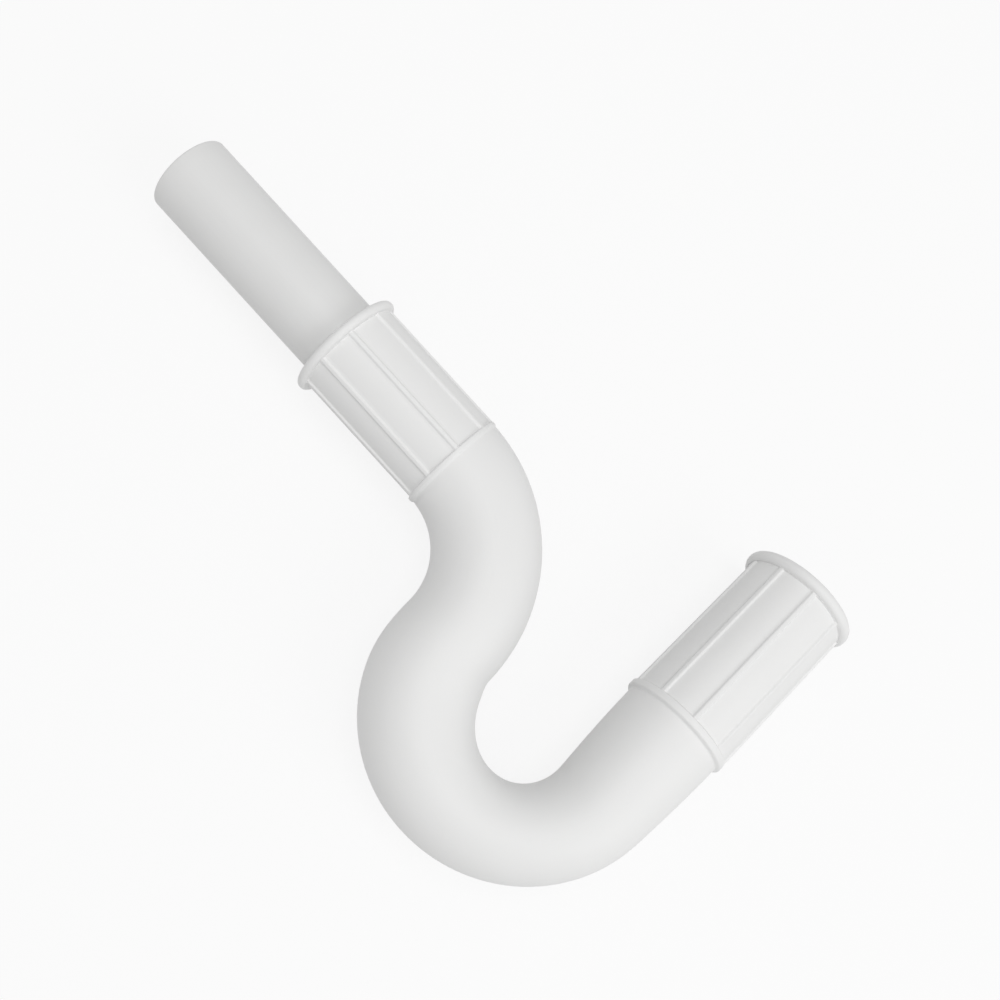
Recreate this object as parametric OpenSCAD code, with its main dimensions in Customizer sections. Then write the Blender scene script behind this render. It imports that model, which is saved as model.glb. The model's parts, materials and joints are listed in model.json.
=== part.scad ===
// Moulded rubber waste trap with a rigid outlet pipe pushed into its upper socket.
// It lies on its side, with its two bends in one level plane. Lengths are in millimetres.

/* [Outlet pipe] */
// Outside diameter of the outlet pipe
pipe_d = 38.1; // [32:0.1:40]
// Wall of the outlet pipe
pipe_wall = 1.8; // [1.2:0.1:2.6]
// Whole length of the outlet pipe
pipe_len = 150; // [110:1:260]
// Length of pipe that stands in the socket
pipe_in = 51; // [35:1:62]
// Bevel on the edges of the pipe's two ends
pipe_edge = 1; // [0.2:0.1:1]
// Width of the groove that shows how deep to push the pipe
mark_w = 0.6; // [0.4:0.1:1]
// Depth of that groove
mark_deep = 0.25; // [0.1:0.05:0.4]

/* [Upper socket] */
// Length of the socket from its mouth to the base ring
socket_len = 69.5; // [66:0.5:90]
// Rubber wall round the pipe
socket_wall = 4.3; // [3:0.1:6]
// Gap between the pipe and the socket's bore, on the radius
pipe_gap = 0.05; // [0.03:0.01:0.08]
// Length of the stop ring that the pipe is pushed towards
stop_len = 3; // [2:0.5:5]

/* [Inlet socket] */
// Bore of the socket that grips the basin's tail
inlet_d = 41; // [38:0.1:44]
// Rubber wall round the inlet bore
inlet_wall = 4.1; // [3:0.1:6]
// Length of the inlet socket from its mouth to the base ring
inlet_len = 82.5; // [50:0.5:110]
// Bevel that leads a pipe into either socket
lead_in = 1.2; // [0.5:0.1:2]

/* [Bends] */
// Angle that the upper bend turns from the outlet's line
upper_turn = 87.6; // [75:0.2:95]
// Radius of the upper bend at its centre line
upper_r = 55; // [45:0.5:80]
// Radius of the U bend at its centre line
u_r = 45.8; // [40:0.1:70]
// Straight leg between the U bend and the inlet socket
leg_len = 45; // [25:1:90]

/* [Hollow body] */
// Half width of the body where it leaves the upper socket
neck_r = 23.8; // [22:0.1:26]
// Half width of the body between its two bends
waist_r = 23.5; // [22:0.1:26]
// Half width of the body at the start of the U bend, where it is widest
heel_r = 24.5; // [22:0.1:27]
// Half width of the body at its narrowest, in the U bend
low_r = 19.9; // [18:0.1:26]
// Half width of the body at the inlet socket
leg_r = 23.9; // [22:0.1:26]
// Place of the widest section, as a share of the U bend
heel_at = 0.13; // [0.05:0.01:0.4]
// Place of the narrowest section, as a share of the U bend
low_at = 0.69; // [0.5:0.01:0.9]
// Share of the narrowing that the depth of the section leaves out
depth_kept = 0.8; // [0:0.05:1]
// Rubber wall of the body
body_wall = 5; // [3.5:0.1:6]

/* [Beads and rings] */
// Width of the bead round the upper socket's mouth
socket_bead_w = 4.1; // [3:0.1:7]
// Height of that bead above the socket
socket_bead_h = 3.2; // [2.2:0.1:5]
// Width of the bead round the inlet's mouth
inlet_bead_w = 5.5; // [4:0.1:8]
// Height of that bead above the socket
inlet_bead_h = 2.9; // [2.8:0.1:5]
// Width of the base ring under the upper socket
socket_ring_w = 2; // [1.5:0.1:4]
// Width of the base ring under the inlet socket
inlet_ring_w = 3.4; // [2:0.1:6]
// Height of both base rings above their sockets
ring_h = 1.1; // [1:0.1:2.5]

/* [Grip ribs] */
// Number of ribs along the upper socket
socket_ribs = 9; // [4:1:12]
// Angle that the upper socket's first rib stands round from the top, towards the outside of the bend
socket_rib_turn = -2.5; // [-20:0.5:20]
// Number of ribs along the inlet socket
inlet_ribs = 9; // [4:1:12]
// Angle that the inlet's first rib stands round from the top, towards the outside of the U
inlet_rib_turn = -5; // [-20:0.5:20]
// Width of a rib at its foot
rib_w = 3.2; // [2:0.1:4]
// Height of a rib above the socket
rib_h = 0.9; // [0.5:0.1:0.9]

/* [Fineness] */
// Sections along the body's outside
body_rings = 58; // [40:1:64]
// Sides of each of those sections
body_sides = 40; // [32:4:44]
// Sections along the waterway
water_rings = 30; // [24:1:36]
// Sides of each section of the waterway
water_sides = 24; // [20:4:28]

/* [Hidden] */
$fn = 96;

// How far one solid runs into the next, so that they join or cut cleanly
overlap = 1;
rib_crown_w = rib_w * 0.6;

socket_bore_r = pipe_d / 2 + pipe_gap;
socket_r = socket_bore_r + socket_wall;
inlet_r = inlet_d / 2 + inlet_wall;
stop_r = pipe_d / 2 - pipe_wall;
socket_bead_r = socket_r + socket_bead_h;
inlet_bead_r = inlet_r + inlet_bead_h;

// The centre line starts at the upper socket's base ring, at the origin, and runs along +X.
// It turns down through the upper bend, back up through the U bend and ends along +Y.
u_turn = upper_turn + 90;
upper_len = upper_r * upper_turn * PI / 180;
u_len = u_r * u_turn * PI / 180;
line_len = upper_len + u_len + leg_len;
u_centre = [
    upper_r * sin(upper_turn) + u_r * sin(upper_turn),
    upper_r * (cos(upper_turn) - 1) + u_r * cos(upper_turn)
];
leg_x = u_centre.x + u_r;
inlet_base_y = u_centre.y + leg_len;

// Lengths along the centre line at which the half width is set, and the half widths there
WIDTHS = [
    [0, neck_r],
    [upper_len, waist_r],
    [upper_len + heel_at * u_len, heel_r],
    [upper_len + low_at * u_len, low_r],
    [line_len, leg_r]
];

function ease(t) = (1 - cos(180 * max(0, min(1, t)))) / 2;

function half_width(s, i = 0) =
    s > WIDTHS[i + 1][0] && i < len(WIDTHS) - 2
    ? half_width(s, i + 1)
    : let (t = (s - WIDTHS[i][0]) / (WIDTHS[i + 1][0] - WIDTHS[i][0]))
      WIDTHS[i][1] + (WIDTHS[i + 1][1] - WIDTHS[i][1]) * ease(t);

function half_depth(s) = half_width(s) + depth_kept * (leg_r - half_width(s));

// The centre line's heading at a length s, in degrees from +X
function heading(s) =
    s < upper_len
    ? -upper_turn * s / upper_len
    : min(90, -upper_turn + u_turn * (s - upper_len) / u_len);

// The centre line's place at a length s
function place(s) =
    let (h = heading(s))
    s < upper_len
    ? [-upper_r * sin(h), upper_r * (cos(h) - 1)]
    : u_centre + u_r * [sin(h), -cos(h)] + [0, max(0, s - upper_len - u_len)];

// One oval section across the centre line, drawn in by inset
function section(s, sides, inset) =
    let (c = place(s), h = heading(s), w = half_width(s) - inset, d = half_depth(s) - inset)
    [
        for (j = [0 : sides - 1])
            let (a = 360 * j / sides)
            [c.x - w * cos(a) * sin(h), c.y + w * cos(a) * cos(h), d * sin(a)]
    ];

function sections(rings, sides, inset, run) =
    [for (i = [0 : rings]) each section(run * i / rings, sides, inset)];

// The solid that the section sweeps out along the centre line, over a length run
module swept(rings, sides, inset, run) {
    start_face = [for (j = [0 : sides - 1]) j];
    end_face = [for (j = [sides - 1 : -1 : 0]) rings * sides + j];
    side_faces = [
        for (i = [0 : rings - 1], j = [0 : sides - 1])
            let (a = i * sides + j, b = i * sides + (j + 1) % sides)
            each [[a, a + sides, b + sides], [a, b + sides, b]]
    ];
    polyhedron(
        points = sections(rings, sides, inset, run),
        faces = concat([start_face, end_face], side_faces)
    );
}

// A band with a round edge, its lower side at height z
module bead(edge_r, w, z) {
    core_r = edge_r - w / 2;
    translate([0, 0, z]) cylinder(r = core_r, h = w);
    translate([0, 0, z + w / 2])
        rotate_extrude()
            translate([core_r, 0])
                circle(d = w);
}

// A ring with bevelled edges, centred on height 0
module base_ring(edge_r, w) {
    bevel = w / 5;
    translate([0, 0, -w / 2]) cylinder(r1 = edge_r - bevel, r2 = edge_r, h = bevel);
    translate([0, 0, bevel - w / 2]) cylinder(r = edge_r, h = w - 2 * bevel);
    translate([0, 0, w / 2 - bevel]) cylinder(r1 = edge_r, r2 = edge_r - bevel, h = bevel);
}

// Evenly spaced ribs with sloping flanks, the first one at an angle turn from +X
module ribs(count, turn, foot_r, run) {
    for (i = [0 : count - 1])
        rotate(turn + 360 * i / count)
            linear_extrude(height = run)
                polygon([
                    [foot_r - overlap, -rib_w / 2],
                    [foot_r, -rib_w / 2],
                    [foot_r + rib_h, -rib_crown_w / 2],
                    [foot_r + rib_h, rib_crown_w / 2],
                    [foot_r, rib_w / 2],
                    [foot_r - overlap, rib_w / 2]
                ]);
}

// The outside of a socket that stands on its base ring, with its mouth upwards
module socket_skin(edge_r, run, ring_w, bead_r, bead_w) {
    cylinder(r = edge_r, h = run - bead_w / 2);
    base_ring(edge_r + ring_h, ring_w);
    bead(bead_r, bead_w, run - bead_w);
}

// The bore of a socket from height z to its mouth, with a lead-in bevel
module socket_bore(bore_r, z, run) {
    translate([0, 0, z]) cylinder(r = bore_r, h = run - z + overlap);
    translate([0, 0, run - lead_in])
        cylinder(r1 = bore_r, r2 = bore_r + lead_in + overlap, h = lead_in + overlap);
}

// The upper socket's frame: base ring at the origin, mouth towards -X, its own +X on top
module at_socket() {
    rotate([0, -90, 0]) children();
}

// The inlet socket's frame: base ring at the end of the leg, mouth towards +Y, its own +X on top
module at_inlet() {
    translate([leg_x, inlet_base_y, 0]) rotate([-90, -90, 0]) children();
}

module trap_solid() {
    swept(body_rings, body_sides, 0, line_len);
    at_socket() {
        socket_skin(socket_r, socket_len, socket_ring_w, socket_bead_r, socket_bead_w);
        ribs(socket_ribs, socket_rib_turn, socket_r, socket_len - socket_bead_w / 2);
    }
    at_inlet() {
        socket_skin(inlet_r, inlet_len, inlet_ring_w, inlet_bead_r, inlet_bead_w);
        ribs(inlet_ribs, inlet_rib_turn, inlet_r, inlet_len - inlet_bead_w / 2);
    }
}

module trap_hollow() {
    swept(water_rings, water_sides, body_wall, line_len + overlap);
    at_socket() {
        translate([0, 0, -overlap]) cylinder(r = stop_r, h = stop_len + 2 * overlap);
        socket_bore(socket_bore_r, stop_len, socket_len);
    }
    at_inlet() socket_bore(inlet_d / 2, 0, inlet_len);
}

// Corners of the whole part in the centre line's frame, and the move that centres it on the floor
x_low = -(socket_len + pipe_len - pipe_in);
x_high = leg_x + inlet_bead_r;
y_low = min([for (p = sections(body_rings, body_sides, 0, line_len)) p.y]);
y_high = inlet_base_y + inlet_len;
lift = max(inlet_bead_r, socket_bead_r);
to_floor = [-(x_low + x_high) / 2, -(y_low + y_high) / 2, lift];

// One rubber moulding: both sockets, both bends and the waterway through them
module trap_body() {
    color([0.93, 0.93, 0.92])
        translate(to_floor)
            difference() {
                trap_solid();
                trap_hollow();
            }
}

// A rigid tube that stands pipe_in deep in the upper socket, up to the groove on its outside
module outlet_pipe() {
    bore_r = pipe_d / 2 - pipe_wall;
    color([0.88, 0.88, 0.87])
        translate(to_floor)
            at_socket()
                translate([0, 0, socket_len - pipe_in])
                    rotate_extrude()
                        polygon([
                            [bore_r, 0],
                            [pipe_d / 2 - pipe_edge, 0],
                            [pipe_d / 2, pipe_edge],
                            [pipe_d / 2, pipe_in],
                            [pipe_d / 2 - mark_deep, pipe_in + mark_w / 2],
                            [pipe_d / 2, pipe_in + mark_w],
                            [pipe_d / 2, pipe_len - pipe_edge],
                            [pipe_d / 2 - pipe_edge, pipe_len],
                            [bore_r, pipe_len]
                        ]);
}

trap_body();
outlet_pipe();
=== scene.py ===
"""Rubber waste trap: one white rubber moulding with two ribbed sockets, and a rigid outlet pipe.

Laid out as a Blender add-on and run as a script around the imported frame.
Lengths are in metres. The trap lies on its side, with its bends in one level plane.
"""

import json
import math

import bmesh
import bpy
from bpy.props import FloatProperty, FloatVectorProperty, IntProperty, PointerProperty
from bpy.types import Operator, Panel, PropertyGroup
from mathutils import Matrix, Vector


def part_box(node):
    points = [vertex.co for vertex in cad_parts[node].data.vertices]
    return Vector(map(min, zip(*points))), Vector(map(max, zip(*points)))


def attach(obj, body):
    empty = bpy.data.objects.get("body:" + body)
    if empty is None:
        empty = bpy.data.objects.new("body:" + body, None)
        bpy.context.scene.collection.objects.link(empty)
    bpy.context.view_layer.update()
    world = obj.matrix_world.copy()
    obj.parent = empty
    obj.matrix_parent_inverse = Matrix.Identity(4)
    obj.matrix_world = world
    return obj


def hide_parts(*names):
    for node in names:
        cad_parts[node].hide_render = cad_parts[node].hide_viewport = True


bl_info = {
    "name": "Rubber Waste Trap",
    "version": (1, 0, 0),
    "blender": (4, 5, 0),
    "location": "View3D > Sidebar > Trap",
    "description": "Builds a moulded rubber waste trap with its outlet pipe, and a stage to show it on",
    "category": "Add Mesh",
}

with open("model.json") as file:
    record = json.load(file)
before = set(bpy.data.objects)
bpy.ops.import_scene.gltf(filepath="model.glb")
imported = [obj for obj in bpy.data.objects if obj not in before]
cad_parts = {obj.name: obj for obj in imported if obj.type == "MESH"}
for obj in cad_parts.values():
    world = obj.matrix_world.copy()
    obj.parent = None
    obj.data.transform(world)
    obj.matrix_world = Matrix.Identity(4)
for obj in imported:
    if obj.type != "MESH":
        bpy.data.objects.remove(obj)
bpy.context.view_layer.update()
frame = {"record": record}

MM = 0.001
MOUTH_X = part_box("trap_body")[0].x
PIPE_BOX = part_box("outlet_pipe")
MOUNTS = {mount["name"]: mount for mount in frame["record"]["mounts"]}
OUTLET_AXIS = Vector(MOUNTS["outlet"]["pos_m"])
PIPE_R = MOUNTS["outlet"]["dims"]["r_mm"] * MM
INLET_BORE_R = MOUNTS["inlet"]["dims"]["r_mm"] * MM


def length(name, description, millimetres):
    """A length that a user can change: its default is given in millimetres and kept in metres."""
    return FloatProperty(
        name=name, description=description, default=millimetres * MM, unit="LENGTH", precision=5
    )


def angle(name, description, degrees):
    return FloatProperty(name=name, description=description, default=math.radians(degrees), subtype="ANGLE")


def share(name, description, value):
    return FloatProperty(
        name=name, description=description, default=value, min=0.0, max=1.0, subtype="FACTOR"
    )


def count(name, description, value):
    return IntProperty(name=name, description=description, default=value, min=3)


def colour(name, description, value):
    return FloatVectorProperty(
        name=name, description=description, default=value, min=0.0, max=1.0, subtype="COLOR"
    )


class TrapBends(PropertyGroup):
    """The line of the two bends, and the hollow section that follows it."""

    upper_turn: angle("Upper Turn", "Angle that the upper bend turns from the outlet's line", 87.6)
    upper_r: length("Upper Bend", "Radius of the upper bend at its centre line", 55)
    u_r: length("U Bend", "Radius of the U bend at its centre line", 45.8)
    leg_len: length("Leg", "Straight leg between the U bend and the inlet socket", 45)
    neck_r: length("Neck", "Half width where the body leaves the upper socket", 23.8)
    waist_r: length("Waist", "Half width between the two bends", 23.5)
    heel_r: length("Heel", "Half width at the start of the U bend, where it is widest", 24.5)
    low_r: length("Low", "Half width at the narrowest place, in the U bend", 19.9)
    leg_r: length("Leg End", "Half width at the inlet socket", 23.9)
    heel_at: share("Heel Place", "Place of the widest section, as a share of the U bend", 0.13)
    low_at: share("Low Place", "Place of the narrowest section, as a share of the U bend", 0.69)
    depth_kept: share("Depth Kept", "Share of the narrowing that the section's depth leaves out", 0.8)
    wall: length("Wall", "Rubber wall of the body", 5)
    skin_rings: count("Skin Rings", "Sections along the outside", 112)
    way_rings: count("Waterway Rings", "Sections along the waterway", 60)


class UpperSocket(PropertyGroup):
    """The ribbed socket that takes the outlet pipe."""

    reach: length("Reach", "Length of the socket from its mouth to its base ring", 69.5)
    bore_r: length("Bore", "Radius of the bore, with the gap that lets the pipe slide", 19.1)
    wall: length("Wall", "Rubber wall round the bore", 4.3)
    bead_w: length("Bead Width", "Width of the bead round the mouth", 4.1)
    bead_h: length("Bead Height", "Height of the bead above the socket", 3.2)
    ring_w: length("Ring Width", "Width of the base ring", 2)
    rib_turn: angle("Rib Turn", "Angle of the top rib from the top, towards the line's left", -2.5)


class InletSocket(PropertyGroup):
    """The ribbed socket that is pushed over the basin's waste."""

    reach: length("Reach", "Length of the socket from its mouth to its base ring", 82.5)
    bore_r: length("Bore", "Radius of the bore", INLET_BORE_R / MM)
    wall: length("Wall", "Rubber wall round the bore", 4.1)
    bead_w: length("Bead Width", "Width of the bead round the mouth", 5.5)
    bead_h: length("Bead Height", "Height of the bead above the socket", 2.9)
    ring_w: length("Ring Width", "Width of the base ring", 3.4)
    rib_turn: angle("Rib Turn", "Angle of the top rib from the top, towards the line's left", 5)


class TrapMoulding(PropertyGroup):
    """What both sockets share."""

    ring_h: length("Ring Height", "Height of both base rings above their sockets", 1.1)
    lead_in: length("Lead In", "Bevel that leads a pipe into either socket", 1.2)
    stop_len: length("Stop Length", "Length of the stop ring that the pipe is pushed towards", 3)
    stop_step: length("Stop Step", "Step in from the pipe's outside to the stop ring's bore", 1.8)
    ribs: count("Ribs", "Number of ribs round each socket", 9)
    rib_w: length("Rib Width", "Width of a rib at its foot", 3.2)
    rib_crown: length("Rib Crown", "Width of the flat top of a rib", 1.2)
    rib_h: length("Rib Height", "Height of a rib above the socket", 0.9)
    rib_blend: length("Rib Blend", "Reach of the fillet where a rib meets a bead or a ring", 0.6)
    rib_columns: count("Rib Columns", "Columns of faces across one rib", 14)
    plain_columns: count("Plain Columns", "Columns of faces between two ribs", 10)


class OutletPipe(PropertyGroup):
    """The rigid tube that slides in the upper socket."""

    wall: length("Wall", "Wall of the pipe", 1.8)
    edge: length("Edge", "Rounding of the outer edges of the pipe's two ends", 1)
    inner_edge: length("Inner Edge", "Rounding of the inner edges of the pipe's two ends", 0.4)
    depth: length("Depth", "Length of pipe that stands in the socket", 51)
    mark_w: length("Mark Width", "Width of the groove that shows how deep to push the pipe", 0.6)
    mark_deep: length("Mark Depth", "Depth of that groove", 0.25)
    columns: count("Columns", "Columns of faces round the pipe", 160)


class TrapFinish(PropertyGroup):
    """Colours of the rubber and of the pipe."""

    rubber: colour("Rubber", "Colour of the moulded rubber", (0.83, 0.83, 0.825))
    rubber_deep: colour("Rubber Clouds", "Slightly darker tone that clouds the rubber", (0.79, 0.79, 0.785))
    pipe: colour("Pipe", "Colour of the outlet pipe", (0.77, 0.77, 0.765))
    pipe_deep: colour("Pipe Clouds", "Slightly darker tone along the outlet pipe", (0.73, 0.73, 0.725))


class TrapStage(PropertyGroup):
    """Camera, lamps and floor."""

    aim: FloatVectorProperty(
        name="Aim", description="Point that the camera looks at", default=(0.02314, 0.0248, 0.0275), unit="LENGTH"
    )
    distance: length("Distance", "Distance from the camera to the point that it looks at", 471.4)
    azimuth: angle("Azimuth", "Direction of the camera round the object", 4.12)
    elevation: angle("Elevation", "Height of the camera above the level, as an angle", 74.48)
    roll: angle("Roll", "Turn of the camera about its own axis", 43.65)
    lens: FloatProperty(name="Lens", description="Focal length for a 36 mm sensor", default=39.6, unit="CAMERA")
    floor_glow: share("Floor Glow", "Share of plain white in the floor as the camera sees it", 0.85)
    key_level: share("Key Level", "Light of the key lamp, where 1 shows a colour as it is written", 0.24)
    key_height: angle("Key Height", "Height of the key lamp above the level, as an angle", 40)
    top_level: share("Top Level", "Light of the lamp overhead, where 1 shows a colour as it is written", 0.32)
    sky_level: share("Sky Level", "Even light from all round, where 1 shows a colour as it is written", 0.52)


# Shapes


def rounded(corners, segments=5):
    """An outline of (r, z) points from (r, z, rounding) corners, with an arc at each rounded corner."""
    points = []
    for i, (r, z, rounding) in enumerate(corners):
        here = Vector((r, z))
        if not rounding:
            points.append(here)
            continue
        back = (Vector(corners[i - 1][:2]) - here).normalized()
        ahead = (Vector(corners[i + 1][:2]) - here).normalized()
        half = back.angle(ahead) / 2
        centre = here + (back + ahead).normalized() * rounding / math.sin(half)
        start = here + back * rounding / math.tan(half) - centre
        turn = (math.pi - 2 * half) * math.copysign(1, ahead.cross(back))
        points += [centre + Matrix.Rotation(turn * step / segments, 2) @ start for step in range(segments + 1)]
    return points


def with_stops(outline, spacing):
    """The same outline, with extra points along its long straight stretches."""
    filled = [outline[0]]
    for a, b in zip(outline, outline[1:]):
        parts = max(1, round((b - a).length / spacing))
        filled += [a.lerp(b, part / parts) for part in range(1, parts + 1)]
    return filled


def lathe(outline, sectors):
    """A bmesh that spins an outline of (r, z) points round Z, sector by sector, until it closes."""
    bm = bmesh.new()
    verts = [bm.verts.new((r, 0, z)) for r, z in outline]
    rim = verts + [bm.edges.new(pair) for pair in zip(verts, verts[1:])]
    for turn, steps in sectors:
        rim = bmesh.ops.spin(bm, geom=rim, axis=(0, 0, 1), angle=turn, steps=steps)["geom_last"]
    bmesh.ops.remove_doubles(bm, verts=bm.verts, dist=1e-7)
    return bm


def ease(t):
    return (1 - math.cos(math.pi * min(max(t, 0), 1))) / 2


def soft_max(a, b, reach):
    """The greater of two lengths, blended where they lie closer than reach."""
    near = max(reach - abs(a - b), 0) / reach
    return max(a, b) + near * near * reach / 4


class CentreLine:
    """The level line through both bends, from the upper socket's base ring to the inlet's."""

    def __init__(self, bends, start):
        self.bends = bends
        self.start = start
        self.upper_len = bends.upper_r * bends.upper_turn
        self.u_turn = bends.upper_turn + math.pi / 2
        self.u_len = bends.u_r * self.u_turn
        self.length = self.upper_len + self.u_len + bends.leg_len
        across = (bends.upper_r + bends.u_r) * math.sin(bends.upper_turn)
        down = (bends.upper_r + bends.u_r) * math.cos(bends.upper_turn) - bends.upper_r
        self.u_centre = start + Vector((across, down, 0))
        self.widths = (
            (0, bends.neck_r),
            (self.upper_len, bends.waist_r),
            (self.upper_len + bends.heel_at * self.u_len, bends.heel_r),
            (self.upper_len + bends.low_at * self.u_len, bends.low_r),
            (self.length, bends.leg_r),
        )

    def heading(self, s):
        if s < self.upper_len:
            return -self.bends.upper_turn * s / self.upper_len
        return min(math.pi / 2, self.u_turn * (s - self.upper_len) / self.u_len - self.bends.upper_turn)

    def place(self, s):
        turned = self.heading(s)
        if s < self.upper_len:
            upper_r = self.bends.upper_r
            return self.start + Vector((-upper_r * math.sin(turned), upper_r * (math.cos(turned) - 1), 0))
        round_u = self.bends.u_r * Vector((math.sin(turned), -math.cos(turned), 0))
        past_u = max(0, s - self.upper_len - self.u_len)
        return self.u_centre + round_u + Vector((0, past_u, 0))

    def half_width(self, s):
        for (s0, w0), (s1, w1) in zip(self.widths, self.widths[1:]):
            if s <= s1:
                return w0 + (w1 - w0) * ease((s - s0) / (s1 - s0))
        return self.bends.leg_r

    def half_depth(self, s):
        width = self.half_width(s)
        return width + self.bends.depth_kept * (self.bends.leg_r - width)

    def at(self, s):
        """Frame at a length s: X to the line's left, Y up and Z ahead."""
        turned = self.heading(s)
        left = (-math.sin(turned), math.cos(turned), 0)
        ahead = (math.cos(turned), math.sin(turned), 0)
        return Matrix.Translation(self.place(s)) @ Matrix((left, (0, 0, 1), ahead)).transposed().to_4x4()

    def section(self, s, inset, twist):
        """Frame that carries a unit circle to the body's section at s, drawn in by inset."""
        oval = Matrix.Diagonal((self.half_width(s) - inset, self.half_depth(s) - inset, 1, 1))
        return self.at(s) @ oval @ Matrix.Rotation(twist, 4, "Z")


def socket_outline(socket, shared, body_r, tail):
    """Corners (r, z, rounding) from the body's outside, over the mouth and in to the waterway.

    z runs from the socket's base to its mouth, and tail holds the corners inside its base.
    """
    skin_r = socket.bore_r + socket.wall
    ring_r = skin_r + shared.ring_h
    bead_r = skin_r + socket.bead_h
    ring_half = socket.ring_w / 2
    bead_foot = socket.reach - socket.bead_w
    bead_round = socket.bead_w * 0.45
    return [
        (body_r, -ring_half - 2.0 * MM, 0),
        (body_r, -ring_half - 0.7 * MM, 1.0 * MM),
        (ring_r, 0.3 * MM - ring_half, 0.9 * MM),
        (ring_r, ring_half - 0.3 * MM, 0.4 * MM),
        (skin_r, ring_half + 0.3 * MM, 0.5 * MM),
        (skin_r, bead_foot, 0.5 * MM),
        (bead_r, bead_foot, bead_round),
        (bead_r, socket.reach, bead_round),
        (socket.bore_r + shared.lead_in, socket.reach, 0.3 * MM),
        (socket.bore_r, socket.reach - shared.lead_in, 0.3 * MM),
    ] + tail


def raise_ribs(bm, socket, shared):
    """Pushes the skin of a socket out along each rib. The first rib spans angles from 0 up."""
    skin_r = socket.bore_r + socket.wall
    pitch = math.tau / shared.ribs
    half_foot = shared.rib_w / 2
    slope = (shared.rib_w - shared.rib_crown) / 2
    for vert in bm.verts:
        r = vert.co.xy.length
        if r < skin_r - 0.01 * MM or not 0 < vert.co.z < socket.reach - socket.bead_w / 2:
            continue
        round_rib = math.atan2(vert.co.y, vert.co.x) % pitch - half_foot / skin_r
        lift = shared.rib_h * ease((half_foot - abs(round_rib) * skin_r) / slope)
        if lift > 0:
            vert.co.xy *= soft_max(r, skin_r + lift, min(shared.rib_blend, 2 * lift)) / r


def make_socket(socket, shared, body_r, tail):
    """A bmesh of one socket, open towards the body, with its axis on Z and its mouth up."""
    foot = shared.rib_w / (socket.bore_r + socket.wall)
    sectors = [(foot, shared.rib_columns), (math.tau / shared.ribs - foot, shared.plain_columns)] * shared.ribs
    outline = with_stops(rounded(socket_outline(socket, shared, body_r, tail)), 3 * MM)
    bm = lathe(outline, sectors)
    raise_ribs(bm, socket, shared)
    return bm


def open_loops(bm):
    """The open edges of a mesh, as one list for each loop, the widest loop first."""
    left = {edge for edge in bm.edges if edge.is_boundary}
    loops = []
    while left:
        loop = [left.pop()]
        for edge in loop:
            beside = {other for vert in edge.verts for other in vert.link_edges} & left
            loop += beside
            left -= beside
        loops.append(loop)
    return sorted(loops, key=lambda loop: -sum(edge.calc_length() for edge in loop))


def sweep_skin(bm, loop, steps):
    """Extrudes a loop of edges through a list of frames. The first frame is where it stands."""
    for here, ahead in zip(steps, steps[1:]):
        grown = bmesh.ops.extrude_edge_only(bm, edges=loop)["geom"]
        verts = [item for item in grown if isinstance(item, bmesh.types.BMVert)]
        loop = [item for item in grown if isinstance(item, bmesh.types.BMEdge) and item.is_boundary]
        bmesh.ops.transform(bm, matrix=ahead @ here.inverted(), verts=verts)
    return loop


def add_mesh(bm, other, matrix):
    """Adds a second bmesh, carried by a matrix, and frees it."""
    bmesh.ops.transform(other, matrix=matrix, verts=other.verts)
    mesh = bpy.data.meshes.new("Part")
    other.to_mesh(mesh)
    other.free()
    bm.from_mesh(mesh)
    bpy.data.meshes.remove(mesh)


def new_piece(name, bm, material):
    """A smooth object from a bmesh, at the origin, with its faces outwards."""
    bmesh.ops.recalc_face_normals(bm, faces=bm.faces)
    for face in bm.faces:
        face.smooth = True
    mesh = bpy.data.meshes.new(name)
    bm.to_mesh(mesh)
    bm.free()
    mesh.materials.append(material)
    piece = bpy.data.objects.new(name, mesh)
    bpy.context.scene.collection.objects.link(piece)
    return piece


# Finishes


class Wire:
    """A node's output socket, with shader maths as plain operators."""

    def __init__(self, shader, socket):
        self.shader = shader
        self.socket = socket

    def _maths(self, operation, *values):
        return self.shader.node("ShaderNodeMath", {"operation": operation}, dict(enumerate(values)))

    def __add__(self, other):
        return self._maths("ADD", self, other)

    def __radd__(self, other):
        return self._maths("ADD", other, self)

    def __sub__(self, other):
        return self._maths("SUBTRACT", self, other)

    def __rsub__(self, other):
        return self._maths("SUBTRACT", other, self)

    def __mul__(self, other):
        return self._maths("MULTIPLY", self, other)

    def __rmul__(self, other):
        return self._maths("MULTIPLY", other, self)

    def __pow__(self, other):
        return self._maths("POWER", self, other)


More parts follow.
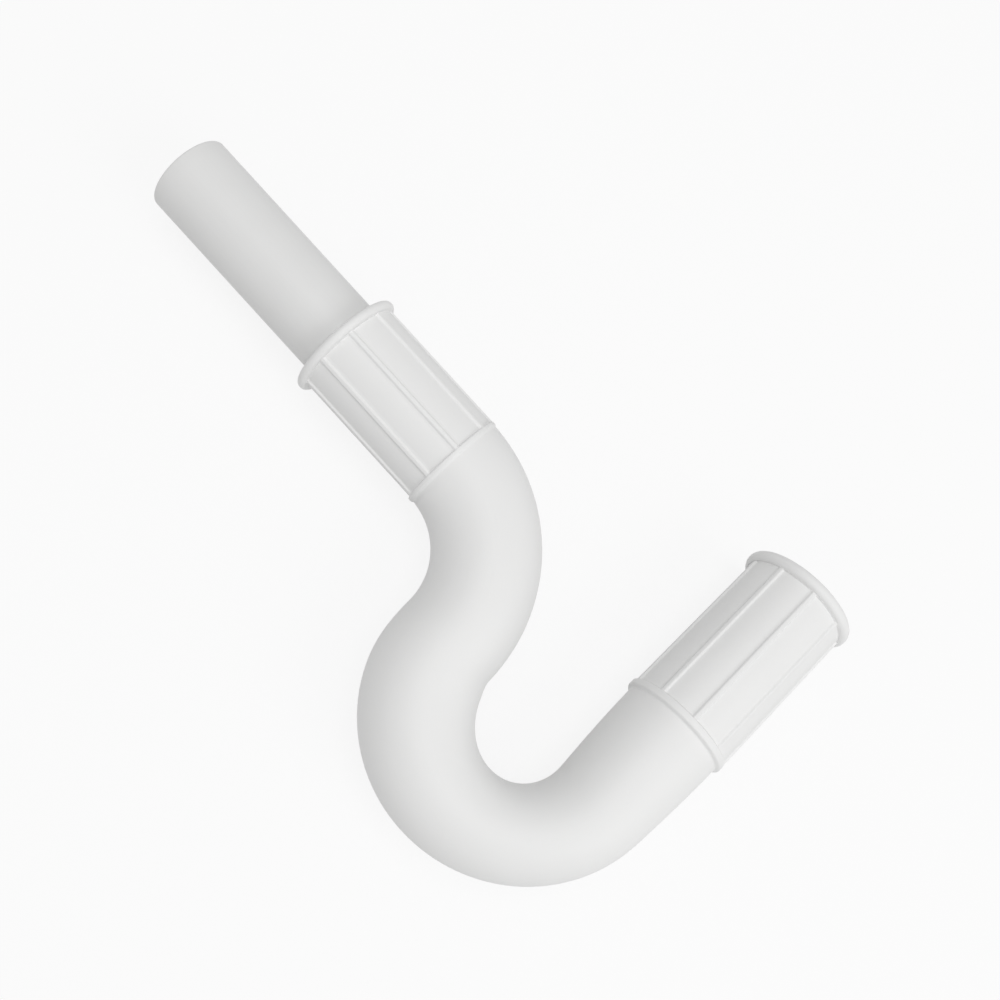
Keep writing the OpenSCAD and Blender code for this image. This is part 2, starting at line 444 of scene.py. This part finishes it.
class Shader:
    """A node tree, filled one node at a time."""

    def __init__(self, tree):
        self.tree = tree
        tree.nodes.clear()

    def node(self, kind, settings=None, inputs=None, output=0):
        """Adds a node: its settings first, then values or wires for its sockets."""
        node = self.tree.nodes.new(kind)
        for name, value in (settings or {}).items():
            setattr(node, name, value)
        for name, value in (inputs or {}).items():
            if isinstance(value, Wire):
                self.tree.links.new(value.socket, node.inputs[name])
            else:
                node.inputs[name].default_value = value
        return Wire(self, node.outputs[output]) if node.outputs else None

    def place(self, stretch=(1, 1, 1)):
        """Object coordinates, stretched along the axes."""
        where = self.node("ShaderNodeTexCoord", output="Object")
        return self.node("ShaderNodeMapping", inputs={"Vector": where, "Scale": stretch})

    def noise(self, where, scale, detail=2.0, roughness=0.5):
        sockets = {"Vector": where, "Scale": scale, "Detail": detail, "Roughness": roughness}
        return self.node("ShaderNodeTexNoise", inputs=sockets, output="Fac")

    def blend(self, factor, a, b):
        """A mix of two colours. Its colour sockets are the seventh and the eighth."""
        sockets = {"Factor": factor, 6: (*a, 1.0), 7: (*b, 1.0)}
        return self.node("ShaderNodeMix", {"data_type": "RGBA"}, sockets, output=2)

    def bump(self, height, distance, strength=1.0, under=None):
        sockets = {"Height": height, "Distance": distance, "Strength": strength}
        if under:
            sockets["Normal"] = under
        return self.node("ShaderNodeBump", inputs=sockets)

    def shown_white(self):
        """1 for the rays that show a background: the camera's own, and those in a gloss or through glass."""
        kinds = ("Is Camera Ray", "Is Glossy Ray", "Is Transmission Ray")
        camera, glossy, through = (self.node("ShaderNodeLightPath", output=kind) for kind in kinds)
        return camera + glossy + through


def new_material(name):
    """A new material and its shader, ready to fill."""
    material = bpy.data.materials.new(name)
    material.use_nodes = True
    return material, Shader(material.node_tree)


def rubber_material(finish):
    """Matt white moulded rubber: soft clouds of tone, a fine grain and a slightly uneven skin."""
    material, shader = new_material("White Rubber")
    where = shader.place()
    clouds = shader.noise(where, 30.0, 3.0)
    grain = shader.noise(where, 1800.0, 2.0)
    waves = shader.noise(where, 120.0, 2.0)
    uneven = shader.bump(waves, 0.15 * MM, 0.5)
    surface = shader.node(
        "ShaderNodeBsdfPrincipled",
        inputs={
            "Base Color": shader.blend(clouds * 0.7 + grain * 0.3, finish.rubber_deep, finish.rubber),
            "Roughness": clouds * 0.14 + 0.44,
            "Normal": shader.bump(grain, 0.02 * MM, 0.6, uneven),
            "Specular IOR Level": 0.35,
        },
    )
    shader.node("ShaderNodeOutputMaterial", inputs={"Surface": surface})
    return material


def pipe_material(finish):
    """Satin white extruded plastic, with faint draw lines along the pipe."""
    material, shader = new_material("Pipe Plastic")
    where = shader.place()
    clouds = shader.noise(where, 45.0, 3.0)
    draw_lines = shader.noise(shader.place((0.02, 1, 1)), 900.0, 2.0)
    grain = shader.noise(where, 2400.0)
    lined = shader.bump(draw_lines, 0.03 * MM, 0.4)
    surface = shader.node(
        "ShaderNodeBsdfPrincipled",
        inputs={
            "Base Color": shader.blend(clouds * 0.6 + draw_lines * 0.4, finish.pipe_deep, finish.pipe),
            "Roughness": draw_lines * 0.1 + 0.42,
            "Normal": shader.bump(grain, 0.01 * MM, 0.5, lined),
            "Specular IOR Level": 0.4,
        },
    )
    shader.node("ShaderNodeOutputMaterial", inputs={"Surface": surface})
    return material


def floor_material(glow):
    """A pale floor that the camera sees as near white, with the object's shadow kept."""
    material, shader = new_material("Pale Floor")
    plain = shader.node("ShaderNodeBsdfDiffuse", inputs={"Color": (0.8, 0.8, 0.8, 1)})
    white = shader.node("ShaderNodeEmission", inputs={"Color": (1, 1, 1, 1)})
    sockets = {"Fac": shader.shown_white() * glow, 1: plain, 2: white}
    surface = shader.node("ShaderNodeMixShader", inputs=sockets)
    shader.node("ShaderNodeOutputMaterial", inputs={"Surface": surface})
    return material


# Operators


class TRAP_OT_moulding(Operator):
    """Build the rubber moulding: both sockets, both bends and the waterway through them"""

    bl_idname = "trap.moulding"
    bl_label = "Build Moulding"

    def execute(self, context):
        scene = context.scene
        bends, shared = scene.trap_bends, scene.trap_moulding
        upper, inlet = scene.trap_upper, scene.trap_inlet
        line = CentreLine(bends, Vector((MOUTH_X + upper.reach, OUTLET_AXIS.y, OUTLET_AXIS.z)))
        stop_r = PIPE_R - shared.stop_step
        upper_way = [
            (upper.bore_r, shared.stop_len, 0.3 * MM),
            (stop_r, shared.stop_len, 0.3 * MM),
            (stop_r, 0, 0.3 * MM),
            (bends.neck_r - bends.wall, 0, 0),
        ]
        inlet_way = [(inlet.bore_r, 0, 0.3 * MM), (bends.leg_r - bends.wall, 0, 0)]
        first_column = {
            socket: math.pi / 2 - socket.rib_turn - shared.rib_w / 2 / (socket.bore_r + socket.wall)
            for socket in (upper, inlet)
        }
        mouth_back = Matrix.Diagonal((1, 1, -1, 1))
        bm = bmesh.new()
        add_mesh(
            bm,
            make_socket(upper, shared, bends.neck_r, upper_way),
            line.at(0) @ mouth_back @ Matrix.Rotation(first_column[upper], 4, "Z"),
        )
        upper_skin, upper_bore = open_loops(bm)
        add_mesh(
            bm,
            make_socket(inlet, shared, bends.leg_r, inlet_way),
            line.at(line.length) @ Matrix.Rotation(first_column[inlet], 4, "Z"),
        )

        def steps(start, end, rings, inset, start_r):
            """Frames from the upper socket's open loop to just short of the inlet's."""
            twist_step = first_column[inlet] - first_column[upper]
            stand = line.at(0) @ Matrix.Translation((0, 0, start)) @ Matrix.Diagonal((start_r, start_r, 1, 1))
            frames = [stand @ Matrix.Rotation(first_column[upper], 4, "Z")]
            for ring in range(1, rings):
                s = start + (end - start) * ring / rings
                twist = first_column[upper] + twist_step * s / line.length
                frames.append(line.section(s, inset, twist))
            return frames

        skin_start = upper.ring_w / 2 + 2 * MM
        skin_end = line.length - inlet.ring_w / 2 - 2 * MM
        skin_end_loop = sweep_skin(bm, upper_skin, steps(skin_start, skin_end, bends.skin_rings, 0, bends.neck_r))
        way_r = bends.neck_r - bends.wall
        way_end_loop = sweep_skin(bm, upper_bore, steps(0, line.length, bends.way_rings, bends.wall, way_r))
        ends = [loop for loop in open_loops(bm)]
        inlet_skin, inlet_bore = [loop for loop in ends if not set(loop) & set(skin_end_loop + way_end_loop)]
        bmesh.ops.bridge_loops(bm, edges=skin_end_loop + inlet_skin)
        bmesh.ops.bridge_loops(bm, edges=way_end_loop + inlet_bore)
        moulding = new_piece("moulding", bm, rubber_material(scene.trap_finish))
        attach(moulding, "trap")
        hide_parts("trap_body")
        return {"FINISHED"}


class TRAP_OT_pipe(Operator):
    """Build the outlet pipe, a rigid tube with rounded ends and a groove that marks its depth"""

    bl_idname = "trap.pipe"
    bl_label = "Build Outlet Pipe"

    def execute(self, context):
        pipe = context.scene.trap_pipe
        low, high = PIPE_BOX
        bore_r = PIPE_R - pipe.wall
        pipe_len = high.x - low.x
        mark = pipe.depth + pipe.mark_w / 2
        outline = rounded(
            [
                (bore_r, pipe_len / 2, 0),
                (bore_r, 0, pipe.inner_edge),
                (PIPE_R, 0, pipe.edge),
                (PIPE_R, pipe.depth, 0.1 * MM),
                (PIPE_R - pipe.mark_deep, mark, 0.1 * MM),
                (PIPE_R, pipe.depth + pipe.mark_w, 0.1 * MM),
                (PIPE_R, pipe_len, pipe.edge),
                (bore_r, pipe_len, pipe.inner_edge),
                (bore_r, pipe_len / 2, 0),
            ]
        )
        bm = lathe(with_stops(outline, 5 * MM), [(math.tau, pipe.columns)])
        lie = Matrix.Translation((high.x, OUTLET_AXIS.y, OUTLET_AXIS.z)) @ Matrix.Rotation(-math.pi / 2, 4, "Y")
        bmesh.ops.transform(bm, matrix=lie, verts=bm.verts)
        tube = new_piece("tube", bm, pipe_material(context.scene.trap_finish))
        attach(tube, "outlet")
        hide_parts("outlet_pipe")
        return {"FINISHED"}


class TRAP_OT_stage(Operator):
    """Set up the floor, the lamps, the even light and the camera"""

    bl_idname = "trap.stage"
    bl_label = "Set Stage"

    def execute(self, context):
        stage = context.scene.trap_stage
        aim = Vector(stage.aim)
        self.add_floor(stage)
        key = Vector((math.cos(stage.key_height), 0, math.sin(stage.key_height)))
        self.add_lamp(context, "Key", stage.key_level, aim, key)
        self.add_lamp(context, "Top", stage.top_level, aim, Vector((0, 0, 1)))
        self.add_sky(context, stage)
        self.add_camera(context, stage, aim)
        context.scene.view_settings.view_transform = "Standard"
        return {"FINISHED"}

    def add_floor(self, stage):
        bm = bmesh.new()
        bmesh.ops.create_grid(bm, x_segments=1, y_segments=1, size=4)
        floor = new_piece("floor", bm, floor_material(stage.floor_glow))

    def add_lamp(self, context, name, level, aim, towards):
        """A large soft lamp that gives a surface facing it that level of light."""
        distance = 1.8
        lamp = bpy.data.lights.new(name, "AREA")
        lamp.shape = "DISK"
        lamp.size = 1.1
        lamp.energy = level * (math.pi * distance) ** 2
        holder = bpy.data.objects.new(name, lamp)
        holder.location = aim + towards * distance
        holder.rotation_euler = towards.to_track_quat("Z", "Y").to_euler()
        context.scene.collection.objects.link(holder)

    def add_sky(self, context, stage):
        """Even light that lights the object, and plain white where the camera or a gloss sees past the floor."""
        world = bpy.data.worlds.new("Studio")
        world.use_nodes = True
        shader = Shader(world.node_tree)
        even = shader.node("ShaderNodeBackground", inputs={"Strength": stage.sky_level})
        white = shader.node("ShaderNodeBackground", inputs={"Color": (1, 1, 1, 1)})
        for background in (even, white):
            background.socket.node.inputs["Color"].default_value = (1, 1, 1, 1)
        shown = shader.node("ShaderNodeMixShader", inputs={"Fac": shader.shown_white(), 1: even, 2: white})
        shader.node("ShaderNodeOutputWorld", inputs={"Surface": shown})
        context.scene.world = world

    def add_camera(self, context, stage, aim):
        level = math.cos(stage.elevation)
        back = Vector(
            (math.sin(stage.azimuth) * level, -math.cos(stage.azimuth) * level, math.sin(stage.elevation))
        )
        camera = bpy.data.cameras.new("Camera")
        camera.lens = stage.lens
        camera.sensor_width = 36
        holder = bpy.data.objects.new("Camera", camera)
        turn = back.to_track_quat("Z", "Y").to_matrix().to_4x4() @ Matrix.Rotation(stage.roll, 4, "Z")
        holder.matrix_world = Matrix.Translation(aim + back * stage.distance) @ turn
        context.scene.collection.objects.link(holder)
        context.scene.camera = holder


class TRAP_PT_panel(Panel):
    """Lists the trap's sizes and the buttons that build its pieces"""

    bl_idname = "TRAP_PT_panel"
    bl_label = "Rubber Waste Trap"
    bl_space_type = "VIEW_3D"
    bl_region_type = "UI"
    bl_category = "Trap"

    def draw(self, context):
        for operator in OPERATORS:
            self.layout.operator(operator.bl_idname)
        for name, group in GROUPS.items():
            box = self.layout.box()
            box.label(text=group.__name__)
            for prop in group.__annotations__:
                box.prop(getattr(context.scene, name), prop)


GROUPS = {
    "trap_bends": TrapBends,
    "trap_moulding": TrapMoulding,
    "trap_upper": UpperSocket,
    "trap_inlet": InletSocket,
    "trap_pipe": OutletPipe,
    "trap_finish": TrapFinish,
    "trap_stage": TrapStage,
}
OPERATORS = (TRAP_OT_moulding, TRAP_OT_pipe, TRAP_OT_stage)


def register():
    for name, group in GROUPS.items():
        bpy.utils.register_class(group)
        setattr(bpy.types.Scene, name, PointerProperty(type=group))
    for kind in (*OPERATORS, TRAP_PT_panel):
        bpy.utils.register_class(kind)


def unregister():
    for kind in (TRAP_PT_panel, *reversed(OPERATORS)):
        bpy.utils.unregister_class(kind)
    for name, group in GROUPS.items():
        delattr(bpy.types.Scene, name)
        bpy.utils.unregister_class(group)


def main():
    register()
    for operator in OPERATORS:
        group, name = operator.bl_idname.split(".")
        getattr(getattr(bpy.ops, group), name)()


if __name__ == "__main__":
    main()
